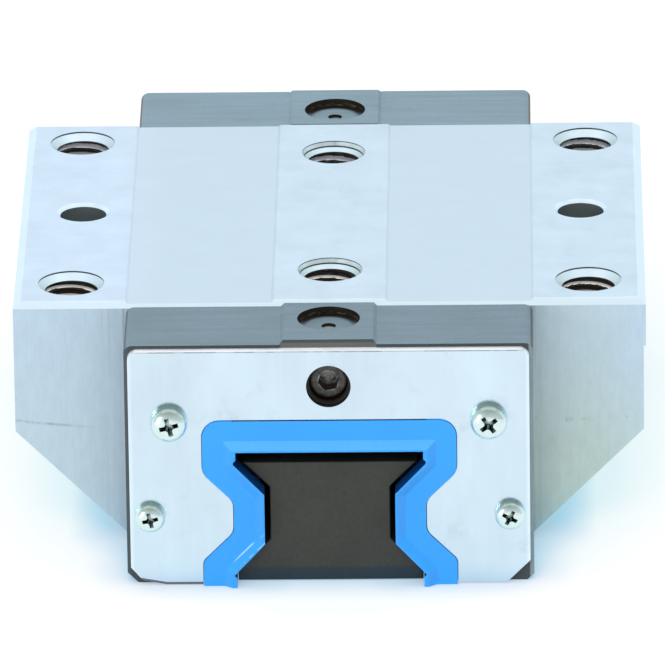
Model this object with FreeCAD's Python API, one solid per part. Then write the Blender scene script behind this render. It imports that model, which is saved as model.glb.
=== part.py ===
"""Flanged roller guide carriage, size 35, on its transport arbor.

X runs across the carriage, Y along the guide and Z up. The origin lies on the support plane, under
the middle of the carriage, and the front end faces -Y. Lengths are in millimetres, angles in degrees.
Pieces of an end are built at the rear, where the guide axis points out of the carriage, and the front
end is the same set turned half round Z.
"""

import FreeCAD, Part

import math
import os

from FreeCAD import Vector

# Steel body
body_width = 100.0
body_length = 79.2
top_z = 41.0
body_underside_z = 1.0
flank_start_z = 19.2
flank_angle = 45.0
reference_edge_height = 8.0
reference_edge_step = 0.35
flange_land_width = 18.1
centre_land_width = 17.6
land_relief = 0.4
end_chamfer = 1.0
side_chamfer_width = 1.25
side_chamfer_height = 1.0
ceiling_gap = 3.0

# Mounting holes, placed from the edges of the steel body
thread_core_diameter = 8.5
thread_mouth_diameter = 10.5
thread_mouth_lip = 0.25
countersink_angle = 90.0
mount_edge_distance = 9.0
mount_end_distance = 8.6
centre_end_distance = 13.6
centre_mouth_diameter = 10.3
centre_mouth_lip = 0.15
centre_step_diameter = 9.7
centre_step_depth = 0.75
centre_step_wall = 0.2
pin_hole_diameter = 7.4
pin_mouth_chamfer = 0.55
pin_hole_depth = 10.0
pin_edge_distance = 10.0

# Profile of the rail that the carriage runs on, with flanks at 45 degrees
rail_top_z = 23.0
rail_head_width = 30.2
rail_waist_width = 20.5
rail_waist_height = 8.25
waist_z = 11.675

# Rollers and the plastic guides at their ends; the many rollers have flats in place of a round face
roller_diameter = 4.0
roller_length = 5.6
roller_flat_count = 8
roller_gap = 0.1
raceway_clearance = 0.02
raceway_margin = 0.2
guide_clearance = 0.08
guide_rail_gap = 0.5
guide_tip_gap = 0.3

# Roller turns in the end caps and return channels through the body
upper_loop_radius = 5.5
lower_loop_radius = 9.0
channel_clearance = 0.15
channel_wall = 0.9
turn_guide_clearance = 0.05
tube_wall = 0.35
tube_clearance = 0.03

# Moulded end caps
cap_width = 64.2
cap_top_z = 40.2
cap_front_wall = 1.7
cap_top_radius = 1.3
cap_left_corner = 1.7
cap_right_corner = 1.1
cap_rail_gap = 0.8
cap_pad_width = 15.2
cap_pad_rise = 0.55
cap_pad_end_slope = 0.8
cap_pad_end_drop = 1.05
port_diameter = 9.9
port_depth = 1.3
port_end_distance = 9.8
port_pip_diameter = 2.3
port_pip_depth = 0.6

# Sheet steel plates in front of the end caps
plate_thickness = 1.5
plate_width = 63.0
plate_bottom_z = 0.25
plate_top_z = 39.7
plate_top_radius = 1.5
plate_left_corner_width = 1.85
plate_left_corner_height = 2.9
plate_left_slope_run = 3.8
plate_left_slope_rise = 0.7
plate_right_corner = 3.7
plate_port_diameter = 7.0
window_width = 40.2
window_top_z = 28.1
window_nose_width = 30.5
window_nose_height = 5.2
window_top_radius = 2.9
window_shoulder_radius = 3.0
window_nose_radius = 2.4
window_foot_radius = 1.6

# End seals, clamped behind the plates and standing through their windows
seal_window_gap = 0.1
seal_flange_width = 0.7
seal_flange_depth = 1.0
seal_stand_out = 0.25
seal_lip_width = 1.6
seal_lip_edge = 0.3
seal_lip_height = 1.0
seal_rail_gap = 0.05
seal_head_z = 21.0
seal_waist_high_z = 15.85
seal_waist_low_z = 7.4
seal_foot_top_z = 2.1
seal_hook = 0.4
seal_hook_height = 1.3
seal_foot_z = 0.0

# Side seals under the body
side_seal_thickness = 0.65
side_seal_lip = 0.3
side_seal_width = 5.6
side_seal_rail_gap = 0.2

# Plate screws: place, thread and head, with flats in place of the thread
upper_screw_x = 25.1
upper_screw_z = 27.85
upper_screw_diameter = 3.0
upper_head_diameter = 5.85
upper_head_height = 2.4
lower_screw_x = 28.3
lower_screw_z = 11.9
lower_screw_diameter = 2.5
lower_head_diameter = 4.8
lower_head_height = 2.0
shank_flat_count = 8
screw_grip = 6.0
screw_hole_runout = 1.0
screw_clearance = 0.15
thread_clearance = 0.05

# Lubrication ports closed by set screws
plug_diameter = 6.0
plug_length = 5.0
plug_recess = 1.0
plug_hex_width = 3.0
hexagon_side_count = 6
plug_hex_depth = 2.4
port_bore_depth = 8.0
front_port_z = 33.7

# Transport arbor, a dummy rail
arbor_gap = 0.75
arbor_top_z = 20.35
arbor_underside_z = 0.1
arbor_foot_width = 29.2
arbor_end_bevel_height = 2.3
arbor_end_bevel_depth = 0.2

# Sizes worked out from the driving dimensions
root_two = math.sqrt(2.0)
body_end = body_length / 2.0
half_body = body_width / 2.0
roller_radius = roller_diameter / 2.0
half_roller = roller_length / 2.0
half_head = rail_head_width / 2.0
half_waist = rail_waist_width / 2.0
flank_drop = half_head - half_waist
waist_top_z = waist_z + rail_waist_height / 2.0
ceiling_z = rail_top_z + ceiling_gap
upper_turn_reach = upper_loop_radius + roller_radius + channel_clearance
lower_turn_core = lower_loop_radius - roller_radius - channel_clearance
half_channel = half_roller + channel_clearance
below_floor_z = -1.0


class RollerRow:
    """One row of rollers on the right side: its centre in the section and its loop.

    normal points from the rail into the body, and axis lies along the rollers, both as (x, z).
    """

    def __init__(self, level, loop_radius):
        side = 1.0 if level == "upper" else -1.0
        flank_x = (half_head + half_waist) / 2.0
        flank_z = waist_z + side * (rail_waist_height + flank_drop) / 2.0
        self.level = level
        self.normal = (1.0 / root_two, -side / root_two)
        self.axis = (side / root_two, 1.0 / root_two)
        self.outward = side
        self.loop_radius = loop_radius
        self.centre = (flank_x + roller_radius * self.normal[0], flank_z + roller_radius * self.normal[1])

    def point(self, depth, along):
        """The section point at that depth into the body and that far along the roller, away from the waist."""
        return (
            self.centre[0] + depth * self.normal[0] + along * self.outward * self.axis[0],
            self.centre[1] + depth * self.normal[1] + along * self.outward * self.axis[1],
        )

    def place(self, shape, y):
        """Moves a shape drawn with x along the normal, y along the guide and z along the rollers."""
        nx, nz = self.normal
        ax, az = self.axis
        cx, cz = self.centre
        placed = shape.copy()
        matrix = FreeCAD.Matrix(nx, 0, ax, cx, 0, 1, 0, y, nz, 0, az, cz, 0, 0, 0, 1)
        placed.Placement = FreeCAD.Placement(matrix).multiply(shape.Placement)
        return placed


upper_row = RollerRow("upper", upper_loop_radius)
lower_row = RollerRow("lower", lower_loop_radius)
rows = [upper_row, lower_row]


def lower_turn_offset():
    """How far the lower row runs straight into the cap, so that its turn passes over the upper row's turn."""
    row_offset = (upper_row.centre[0] - lower_row.centre[0], upper_row.centre[1] - lower_row.centre[1])
    along_normal = row_offset[0] * lower_row.normal[0] + row_offset[1] * lower_row.normal[1]
    crossing_edge = along_normal - half_channel
    clear_height = math.sqrt(lower_turn_core**2 - (crossing_edge - lower_loop_radius) ** 2)
    return upper_turn_reach + channel_wall - clear_height


turn_offsets = {"upper": 0.0, "lower": lower_turn_offset()}
cap_length = turn_offsets["lower"] + lower_loop_radius + roller_radius + channel_clearance + cap_front_wall
cap_end = body_end + cap_length
plate_end = cap_end + plate_thickness


def prism(outline, y_from, y_to):
    """A closed (x, z) outline extruded along the guide."""
    corners = [Vector(x, y_from, z) for x, z in outline]
    face = Part.Face(Part.makePolygon(corners + corners[:1]))
    return face.extrude(Vector(0, y_to - y_from, 0))


def both_sides(half_outline):
    """A half outline on the right, from its upper end to its lower end, closed by its mirror image."""
    left = [(-x, z) for x, z in reversed(half_outline) if x > 0]
    return list(half_outline) + left


def mirrored(shape):
    """The shape on the other side of the carriage."""
    return shape.mirror(Vector(0, 0, 0), Vector(1, 0, 0))


def turned(shape):
    """The shape at the other end of the carriage."""
    copy = shape.copy()
    copy.rotate(Vector(0, 0, 0), Vector(0, 0, 1), 180)
    return copy


def flat_sided_bar(across_flats, flats, length):
    """A bar along Z from the origin with a regular section, one flat facing +X."""
    corner_radius = across_flats / 2.0 / math.cos(math.pi / flats)
    corners = []
    for index in range(flats):
        angle = 2.0 * math.pi * (index + 0.5) / flats
        corners.append(Vector(corner_radius * math.cos(angle), corner_radius * math.sin(angle), 0))
    face = Part.Face(Part.makePolygon(corners + corners[:1]))
    return face.extrude(Vector(0, 0, length))


def screw_hole(diameter, clearance, x, z, y_from, y_to):
    """Cutter along the guide for a plate screw's shank."""
    hole = flat_sided_bar(diameter + 2.0 * clearance, shank_flat_count, y_to - y_from)
    hole.rotate(Vector(0, 0, 0), Vector(1, 0, 0), -90)
    hole.translate(Vector(x, y_from, z))
    return hole


def cylinder_z(diameter, x, y, z_from, z_to):
    """An upright cylinder."""
    return Part.makeCylinder(diameter / 2.0, z_to - z_from, Vector(x, y, z_from))


def cylinder_y(diameter, x, z, y_from, y_to):
    """A cylinder along the guide."""
    return Part.makeCylinder(diameter / 2.0, y_to - y_from, Vector(x, y_from, z), Vector(0, 1, 0))


def rail_outline(gap, top, bottom, foot_width=rail_head_width):
    """The right half of the rail's profile, grown outwards by a gap, from its top to its foot."""
    corner_shift = gap * (root_two - 1.0)
    half_foot = foot_width / 2.0 + gap
    waist = half_waist + gap
    waist_low = waist_z - rail_waist_height / 2.0 + corner_shift
    foot_top = waist_low - (half_foot - waist)
    head_low = waist_top_z - corner_shift + flank_drop
    head = [(half_head + gap, top), (half_head + gap, head_low)]
    if top < head_low:
        head = [(waist + top - (waist_top_z - corner_shift), top)]
    return [(0.0, top)] + head + [
        (waist, waist_top_z - corner_shift),
        (waist, waist_low),
        (half_foot, foot_top),
        (half_foot, bottom),
    ]


def rounded_outline_face(corners, y):
    """A face at y from (x, z, radius) corners, with each corner rounded by its own radius."""
    count = len(corners)
    edges = []
    starts = []
    ends = []
    middles = []
    for index, (x, z, radius) in enumerate(corners):
        here = Vector(x, y, z)
        before = Vector(corners[index - 1][0], y, corners[index - 1][1]) - here
        after = Vector(corners[(index + 1) % count][0], y, corners[(index + 1) % count][1]) - here
        before.normalize()
        after.normalize()
        half_turn = before.getAngle(after) / 2.0
        setback = radius / math.tan(half_turn)
        bisector = before + after
        starts.append(here + before * setback)
        ends.append(here + after * setback)
        if radius > 0:
            bisector.normalize()
            middles.append(here + bisector * (radius / math.sin(half_turn) - radius))
        else:
            middles.append(None)
    for index in range(count):
        if middles[index]:
            edges.append(Part.Arc(starts[index], middles[index], ends[index]).toShape())
        edges.append(Part.LineSegment(ends[index], starts[(index + 1) % count]).toShape())
    return Part.Face(Part.Wire(edges))


def window_corners(growth, bottom):
    """The plate's window, or a larger or smaller copy of it, as (x, z, radius) corners."""
    half_window = window_width / 2.0 + growth
    half_nose = window_nose_width / 2.0 + growth
    corner_shift = growth * (root_two - 1.0)
    nose_high = waist_z + window_nose_height / 2.0 - corner_shift
    nose_low = waist_z - window_nose_height / 2.0 + corner_shift
    step = half_window - half_nose
    right = [
        (half_window, window_top_z + growth, window_top_radius + growth),
        (half_window, nose_high + step, window_shoulder_radius + growth),
        (half_nose, nose_high, window_nose_radius - growth),
        (half_nose, nose_low, window_nose_radius - growth),
        (half_window, nose_low - step, window_foot_radius + growth),
        (half_window, bottom, 0.0),
    ]
    return right + [(-x, z, radius) for x, z, radius in reversed(right)]


def window_prism(growth, y_from, y_to, bottom):
    """The window's rounded shape, extruded along the guide."""
    face = rounded_outline_face(window_corners(growth, bottom), y_from)
    return face.extrude(Vector(0, y_to - y_from, 0))


def flange_prism(growth, y_from, y_to, bottom):
    """The seal flange's shape behind the plate: the window's with square corners."""
    outline = [(x, z) for x, z, radius in window_corners(growth, bottom)]
    return prism(outline, y_from, y_to)


def raceway_end(row):
    """The outer end of a row's raceway in the body, away from the waist."""
    return row.point(roller_radius + raceway_clearance, half_roller + raceway_margin)


def nose_corner(row):
    """The inner end of a row's raceway in the body, at the nose between the rows."""
    return row.point(roller_radius + raceway_clearance, -half_roller - raceway_margin)


def return_centre(row):
    """The middle of a row's return channel in the section."""
    return row.point(2.0 * row.loop_radius, 0.0)


def tube_diameter():
    """The return tube's outside, round the roller's rectangular channel."""
    return 2.0 * (math.hypot(roller_radius + channel_clearance, half_channel) + tube_wall)


def body_section():
    """The right half of the body's section, from the middle of its ceiling round to the middle of its top."""
    wall_x = raceway_end(upper_row)[0]
    flank_run = (flank_start_z - body_underside_z) / math.tan(math.radians(flank_angle))
    flange_inner = half_body - flange_land_width
    half_land = centre_land_width / 2.0
    relief_z = top_z - land_relief
    return [
        (0.0, ceiling_z),
        (wall_x, ceiling_z),
        raceway_end(upper_row),
        nose_corner(upper_row),
        nose_corner(lower_row),
        raceway_end(lower_row),
        (wall_x, body_underside_z),
        (half_body - flank_run, body_underside_z),
        (half_body, flank_start_z),
        (half_body, top_z - side_chamfer_height),
        (half_body - side_chamfer_width, top_z),
        (flange_inner + land_relief, top_z),
        (flange_inner, relief_z),
        (half_land + land_relief, relief_z),
        (half_land, top_z),
        (0.0, top_z),
    ]


def countersink(diameter, x, y, top):
    """Cutter for a cone from that diameter at its top down to the thread's core."""
    depth = (diameter - thread_core_diameter) / 2.0 / math.tan(math.radians(countersink_angle / 2.0))
    return Part.makeCone(thread_core_diameter / 2.0, diameter / 2.0, depth, Vector(x, y, top - depth))


def mount_hole(x, y):
    """Cutter for a tapped through hole with a short lip and a countersink at its mouth."""
    lip_z = top_z - thread_mouth_lip
    core = cylinder_z(thread_core_diameter, x, y, 0, top_z)
    lip = cylinder_z(thread_mouth_diameter, x, y, lip_z, top_z)
    return [core, lip, countersink(thread_mouth_diameter, x, y, lip_z)]


def centre_hole(y):
    """Cutter for a tapped through hole on the centre land, with a step in its countersink."""
    lip_z = top_z - centre_mouth_lip
    step_z = top_z - centre_step_depth
    wall_z = step_z - centre_step_wall
    core = cylinder_z(thread_core_diameter, 0, y, 0, top_z)
    lip = cylinder_z(centre_mouth_diameter, 0, y, lip_z, top_z)
    mouth = Part.makeCone(
        centre_step_diameter / 2.0, centre_mouth_diameter / 2.0, lip_z - step_z, Vector(0, y, step_z)
    )
    wall = cylinder_z(centre_step_diameter, 0, y, wall_z, step_z)
    return [core, lip, mouth, wall, countersink(centre_step_diameter, 0, y, wall_z)]


def pin_hole(x):
    """Cutter for a blind hole for a locating pin, with a chamfered mouth."""
    radius = pin_hole_diameter / 2.0
    hole = cylinder_z(pin_hole_diameter, x, 0, top_z - pin_hole_depth, top_z)
    mouth = Part.makeCone(
        radius, radius + pin_mouth_chamfer, pin_mouth_chamfer, Vector(x, 0, top_z - pin_mouth_chamfer)
    )
    return [hole, mouth]


def wedge_across(width, corners):
    """A wedge across the carriage over its triangle of (y, z) corners."""
    points = [Vector(-width / 2.0, y, z) for y, z in corners]
    return Part.Face(Part.makePolygon(points + points[:1])).extrude(Vector(width, 0, 0))


def end_chamfers():
    """Cutters for the chamfers along the top end edges of the body."""
    corners = [(body_end, top_z - end_chamfer), (body_end - end_chamfer, top_z), (body_end, top_z)]
    rear = wedge_across(2.0 * body_width, corners)
    return [rear, turned(rear)]


def carriage_body():
    """Steel body with its mounting holes, pin holes, screw holes and return bores."""
    body = prism(both_sides(body_section()), -body_end, body_end)
    cutters = end_chamfers()
    step_z = top_z - reference_edge_height
    cutters.append(
        Part.makeBox(
            reference_edge_step,
            body_length,
            step_z,
            Vector(half_body - reference_edge_step, -body_end, 0),
        )
    )
    mount_x = half_body - mount_edge_distance
    mount_y = body_end - mount_end_distance
    centre_y = body_end - centre_end_distance
    for end in (-1, 1):
        cutters += centre_hole(end * centre_y)
        for side in (-1, 1):
            cutters += mount_hole(side * mount_x, end * mount_y)
    for side in (-1, 1):
        cutters += pin_hole(side * (half_body - pin_edge_distance))
        for x, z, diameter in screw_places():
            for end in (-1, 1):
                y_low, y_high = sorted([end * body_end, end * (body_end - screw_grip - screw_hole_runout)])
                cutters.append(screw_hole(diameter, thread_clearance, side * x, z, y_low, y_high))
        for row in rows:
            x, z = return_centre(row)
            bore = tube_diameter() + 2.0 * tube_clearance
            cutters.append(cylinder_y(bore, side * x, z, -body_end, body_end))
    return body.cut(cutters).removeSplitter()


def roller_positions():
    """Places of a row's rollers along the guide, as many as the body's length holds."""
    pitch = roller_diameter + roller_gap
    count = int((body_length - roller_gap) / pitch)
    first = -pitch * (count - 1) / 2.0
    return [first + pitch * index for index in range(count)]


def roller_track(row):
    """A row's loaded rollers, each with a flat on the raceway and one on the rail."""
    bar = flat_sided_bar(roller_diameter, roller_flat_count, roller_length)
    bar.translate(Vector(0, 0, -half_roller))
    return Part.makeCompound([row.place(bar, y) for y in roller_positions()])


def return_tube(row):
    """Plastic tube in a return bore, with a channel that holds the rollers square."""
    depth = 2.0 * (roller_radius + channel_clearance)
    tube = Part.makeCylinder(tube_diameter() / 2.0, body_length, Vector(0, 0, 0), Vector(0, 1, 0))
    channel = Part.makeBox(
        depth, body_length, 2.0 * half_channel, Vector(-depth / 2.0, 0, -half_channel)
    )
    tube = tube.cut(channel)
    tube.translate(Vector(2.0 * row.loop_radius, 0, 0))
    return row.place(tube, -body_end)


def turn_volume(row, radius, half_width):
    """Half-round volume about a row's turn, with a straight stretch next to the body."""
    offset = turn_offsets[row.level]
    half_round = Part.makeCylinder(
        radius, 2.0 * half_width, Vector(row.loop_radius, offset, -half_width), Vector(0, 0, 1), 180
    )
    if offset > 0:
        straight = Part.makeBox(
            2.0 * radius,
            offset,
            2.0 * half_width,
            Vector(row.loop_radius - radius, 0, -half_width),
        )
        half_round = half_round.fuse(straight).removeSplitter()
    return row.place(half_round, body_end)


def turn_channel(row):
    """Space in the end cap that holds a row's turn, with its inner guide."""
    return turn_volume(row, row.loop_radius + roller_radius + channel_clearance, half_channel)


def turn_guide(row):
    """Half-round guide on the inside of a row's turn, at the rear end on the right."""
    core = row.loop_radius - roller_radius - channel_clearance
    guide = turn_volume(row, core, half_channel - turn_guide_clearance)
    if row is lower_row:
        guide = guide.cut(turn_channel(upper_row))
    return guide


def middle_guide():
    """Plastic strip on the nose of the body, between the inner ends of both rows."""
    inner_x = half_waist + guide_rail_gap
    nose_x = nose_corner(upper_row)[0]
    guide_sum = sum(upper_row.point(0.0, -half_roller - guide_clearance))
    tip_high = guide_sum - inner_x
    root_high = guide_sum - nose_x
    outline = [
        (inner_x, tip_high),
        (nose_x, root_high),
        (nose_x, 2.0 * waist_z - root_high),
        (inner_x, 2.0 * waist_z - tip_high),
    ]
    return prism(outline, -body_end, body_end)


def outer_guide(row):
    """Plastic strip at the outer ends of a row, between the rail and the wall of the body."""
    wall_x = raceway_end(row)[0]
    inner_x = half_head + guide_rail_gap
    end_face = half_roller + guide_clearance
    tip = row.point(guide_tip_gap - roller_radius, end_face)
    root = row.point(roller_radius, end_face)
    seat = (wall_x, root[1] + row.outward * (wall_x - root[0]))
    far_z = ceiling_z if row is upper_row else body_underside_z
    shoulder_z = tip[1] + row.outward * (inner_x - tip[0])
    outline = [tip, root, seat, (wall_x, far_z), (inner_x, far_z), (inner_x, shoulder_z)]
    return prism(outline, -body_end, body_end)


def side_seal():
    """Lip strip under the body and the lower guide, along the rail's foot."""
    inner_x = half_head + side_seal_rail_gap
    outer_x = inner_x + side_seal_width
    low_z = body_underside_z - side_seal_thickness
    outline = [
        (inner_x, low_z + side_seal_lip),
        (inner_x, low_z),
        (outer_x, low_z),
        (outer_x, body_underside_z),
        (inner_x + side_seal_thickness, body_underside_z),
    ]
    return prism(outline, -body_end, body_end)


def cap_block():
    """The rear cap's outside: a block with rounded shoulders and cut feet, and a pad on its top."""
    half_cap = cap_width / 2.0
    half_pad = cap_pad_width / 2.0
    pad_z = cap_top_z + cap_pad_rise
    outline = [
        (half_cap, cap_top_z, cap_top_radius),
        (half_cap, cap_left_corner, 0.0),
        (half_cap - cap_left_corner, 0.0, 0.0),
        (-half_cap + cap_right_corner, 0.0, 0.0),
        (-half_cap, cap_right_corner, 0.0),
        (-half_cap, cap_top_z, cap_top_radius),
    ]
    block = rounded_outline_face(outline, body_end).extrude(Vector(0, cap_length, 0))
    half_section = [(0.0, pad_z), (half_pad - cap_pad_rise, pad_z), (half_pad, cap_top_z), (0.0, cap_top_z)]
    pad = prism(both_sides(half_section), body_end, cap_end)
    slope = [(cap_end - cap_pad_end_slope, pad_z), (cap_end, pad_z - cap_pad_end_drop), (cap_end, pad_z)]
    return block.fuse(pad).cut(wedge_across(cap_pad_width, slope)).removeSplitter()


def top_port(y):
    """Cutter for the round lubrication port in a cap's pad, with a pip to pierce in its floor."""
    pad_z = cap_top_z + cap_pad_rise
    floor_z = pad_z - port_depth
    port = cylinder_z(port_diameter, 0, y, floor_z, pad_z)
    pip = cylinder_z(port_pip_diameter, 0, y, floor_z - port_pip_depth, floor_z)
    return [port, pip]


def end_cap():
    """Moulded cap at the rear end: it turns the rollers, carries the seal and takes the grease ports."""
    cap = cap_block()
    passage = both_sides(rail_outline(cap_rail_gap, rail_top_z + cap_rail_gap, below_floor_z))
    cutters = [prism(passage, body_end, cap_end)]
    for row in rows:
        cutters += [turn_channel(row), mirrored(turn_channel(row))]
    cutters.append(flange_prism(seal_flange_width, cap_end - seal_flange_depth, cap_end, below_floor_z))
    for x, z, diameter in screw_places():
        for side in (-1, 1):
            cutters.append(screw_hole(diameter, screw_clearance, side * x, z, body_end, cap_end))
    bore = plug_diameter + 2.0 * thread_clearance
    cutters.append(cylinder_y(bore, 0, front_port_z, cap_end - port_bore_depth, cap_end))
    cutters += top_port(cap_end - port_end_distance)
    return cap.cut(cutters).removeSplitter()


def wiper_plate():
    """Sheet steel plate over the rear cap, cut out for the seal, the port and the screws."""
    half_plate = plate_width / 2.0
    slope_start = half_plate - plate_left_corner_width
    outline = [
        (half_plate, plate_top_z, plate_top_radius),
        (half_plate, plate_bottom_z + plate_left_corner_height, 0.0),
        (slope_start, plate_bottom_z + plate_left_slope_rise, 0.0),
        (slope_start - plate_left_slope_run, plate_bottom_z, 0.0),
        (-half_plate + plate_right_corner, plate_bottom_z, 0.0),
        (-half_plate, plate_bottom_z + plate_right_corner, 0.0),
        (-half_plate, plate_top_z, plate_top_radius),
    ]
    plate = rounded_outline_face(outline, cap_end).extrude(Vector(0, plate_thickness, 0))
    cutters = [window_prism(0.0, cap_end, plate_end, below_floor_z)]
    cutters.append(cylinder_y(plate_port_diameter, 0, front_port_z, cap_end, plate_end))
    for x, z, diameter in screw_places():
        for side in (-1, 1):
            cutters.append(screw_hole(diameter, screw_clearance, side * x, z, cap_end, plate_end))
    return plate.cut(cutters)


def outline_wire(outline, y):
    """A closed wire at y from (x, z) corners."""
    corners = [Vector(x, y, z) for x, z in outline]
    return Part.makePolygon(corners + corners[:1])


def seal_outline(growth, hook, bottom):
    """The right half of the seal's opening, with hooks at the rail's head and foot, or a larger copy."""
    corner_shift = growth * (root_two - 1.0)
    side = half_head + seal_rail_gap + growth
    waist = half_waist + seal_rail_gap + growth
    top = rail_top_z + seal_rail_gap + growth
    foot_z = seal_foot_top_z + corner_shift
    flank = [
        (side, seal_head_z - corner_shift),
        (waist, seal_waist_high_z - corner_shift),
        (waist, seal_waist_low_z + corner_shift),
        (side, foot_z),
    ]
    if hook == 0:
        return [(0.0, top), (side, top)] + flank + [(side, bottom)]
    hook_z = top - seal_hook_height
    head = [(0.0, top), (side - hook, top), (side - hook, hook_z), (side, hook_z - hook)]
    return head + flank + [(side - hook, foot_z - hook), (side - hook, bottom)]


def end_seal():
    """Rubber wiper at the rear end: a flange behind the plate, a face in its window and a raised lip."""
    face_y = plate_end + seal_stand_out
    lip_y = face_y + seal_lip_height
    flange_y = cap_end - seal_flange_depth
    flange = flange_prism(seal_flange_width - seal_window_gap, flange_y, cap_end, seal_foot_z)
    face = window_prism(-seal_window_gap, cap_end, face_y, seal_foot_z)
    lip_root = outline_wire(both_sides(seal_outline(seal_lip_width, 0.0, seal_foot_z)), face_y)
    lip_edge = outline_wire(both_sides(seal_outline(seal_lip_edge, 0.0, seal_foot_z)), lip_y)
    lip = Part.makeLoft([lip_root, lip_edge], True, True)
    opening = both_sides(seal_outline(0.0, seal_hook, below_floor_z))
    seal = flange.fuse([face, lip]).cut(prism(opening, flange_y, lip_y))
    return seal.removeSplitter()


def screw_places():
    """Right-hand x, z and thread diameter of the plate screws."""
    return [
        (upper_screw_x, upper_screw_z, upper_screw_diameter),
        (lower_screw_x, lower_screw_z, lower_screw_diameter),
    ]


def pan_screw(diameter, head_diameter, head_height):
    """Pan head screw along Z, with the underside of its head at the origin and its shank below."""
    shank_length = plate_thickness + cap_length + screw_grip
    head = Part.makeCylinder(head_diameter / 2.0, head_height)
    shank = flat_sided_bar(diameter, shank_flat_count, shank_length)
    shank.translate(Vector(0, 0, -shank_length))
    return head.fuse(shank)


def plate_screws(x, z, diameter, head_diameter, head_height):
    """The pair of screws of one level at the rear end."""
    pair = []
    for side in (-1, 1):
        screw = pan_screw(diameter, head_diameter, head_height)
        screw.rotate(Vector(0, 0, 0), Vector(1, 0, 0), -90)
        screw.translate(Vector(side * x, plate_end, z))
        pair.append(screw)
    return Part.makeCompound(pair)


def set_screw():
    """Headless screw along Z with a hexagon socket, its outer end at the origin."""
    socket = flat_sided_bar(plug_hex_width, hexagon_side_count, plug_hex_depth)
    socket.translate(Vector(0, 0, -plug_hex_depth))
    shank = Part.makeCylinder(plug_diameter / 2.0, plug_length, Vector(0, 0, -plug_length))
    return shank.cut(socket)


def front_plug():
    """Set screw in the rear cap's end port."""
    plug = set_screw()
    plug.rotate(Vector(0, 0, 0), Vector(1, 0, 0), -90)
    plug.translate(Vector(0, cap_end - plug_recess, front_port_z))
    return plug


def transport_arbor():
    """Plastic dummy rail that holds the rollers in while the carriage is off its rail."""
    foot = arbor_foot_width + 2.0 * arbor_gap
    outline = both_sides(rail_outline(-arbor_gap, arbor_top_z, arbor_underside_z, foot))
    arbor = prism(outline, -cap_end, cap_end)
    bevel_corners = [
        (cap_end, arbor_underside_z + arbor_end_bevel_height),
        (cap_end - arbor_end_bevel_depth, arbor_underside_z),
        (cap_end, arbor_underside_z),
    ]
    bevel = wedge_across(2.0 * arbor_foot_width, bevel_corners)
    return arbor.cut([bevel, turned(bevel)])


def both_ends(name, shape):
    """Front and rear nodes of a piece that is built at the rear."""
    return {name + "_front": turned(shape), name + "_rear": shape}


def left_and_right(name, shape):
    """Left and right nodes of a piece that is built on the right."""
    return {name + "_left": mirrored(shape), name + "_right": shape}


def all_nodes():
    """Every piece by its name."""
    nodes = {"carriage_body": carriage_body(), "transport_arbor": transport_arbor()}
    nodes.update(both_ends("end_cap", end_cap()))
    nodes.update(both_ends("wiper_plate", wiper_plate()))
    nodes.update(both_ends("end_seal", end_seal()))
    nodes.update(both_ends("lube_plug", front_plug()))
    upper_screws = plate_screws(
        upper_screw_x, upper_screw_z, upper_screw_diameter, upper_head_diameter, upper_head_height
    )
    lower_screws = plate_screws(
        lower_screw_x, lower_screw_z, lower_screw_diameter, lower_head_diameter, lower_head_height
    )
    nodes.update(both_ends("upper_screws", upper_screws))
    nodes.update(both_ends("lower_screws", lower_screws))
    nodes.update(left_and_right("middle_guide", middle_guide()))
    nodes.update(left_and_right("side_seal", side_seal()))
    for row in rows:
        nodes.update(left_and_right(row.level + "_guide", outer_guide(row)))
        nodes.update(left_and_right(row.level + "_rollers", roller_track(row)))
        nodes.update(left_and_right(row.level + "_return_tube", return_tube(row)))
        guide = turn_guide(row)
        pair = Part.makeCompound([guide, mirrored(guide)])
        nodes.update(both_ends(row.level + "_turn_guides", pair))
    return nodes


def main():
    os.makedirs("parts", exist_ok=True)
    for name, shape in all_nodes().items():
        shape.exportStep(os.path.join("parts", name + ".step"))


main()
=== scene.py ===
import math

import bmesh
import bpy
from mathutils import Matrix, Vector


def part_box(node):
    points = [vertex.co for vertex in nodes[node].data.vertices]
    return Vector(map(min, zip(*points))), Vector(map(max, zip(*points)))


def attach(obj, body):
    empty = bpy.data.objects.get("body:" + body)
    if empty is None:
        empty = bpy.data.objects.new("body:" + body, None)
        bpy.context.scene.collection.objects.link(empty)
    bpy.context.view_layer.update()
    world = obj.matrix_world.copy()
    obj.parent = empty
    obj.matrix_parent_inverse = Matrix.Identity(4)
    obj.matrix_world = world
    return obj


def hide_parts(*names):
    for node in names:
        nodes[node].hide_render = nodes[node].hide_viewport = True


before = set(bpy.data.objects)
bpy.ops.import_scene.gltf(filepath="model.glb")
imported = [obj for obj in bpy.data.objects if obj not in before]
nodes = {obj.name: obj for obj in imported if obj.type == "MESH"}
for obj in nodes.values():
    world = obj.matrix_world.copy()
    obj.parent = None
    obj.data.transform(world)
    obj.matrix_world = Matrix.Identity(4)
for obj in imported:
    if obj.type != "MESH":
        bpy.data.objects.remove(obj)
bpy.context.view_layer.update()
mm = 0.001
print("frame loaded with", len(nodes), "nodes")

# Places that finishes and pieces share, in millimetres, to both sides of the middle
plan = {
    "cornerHole": (41, 31),  # x and y
    "centreHole": (0, 26),
    "pinHole": (40, 0),
    "capPort": (0, 46.2),
    "endPort": (0, 33.7),  # x and z
    "upperScrew": (25.1, 27.85, 2.925),  # x, z and radius of the head
    "lowerScrew": (28.3, 11.9, 2.4),
}


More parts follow.
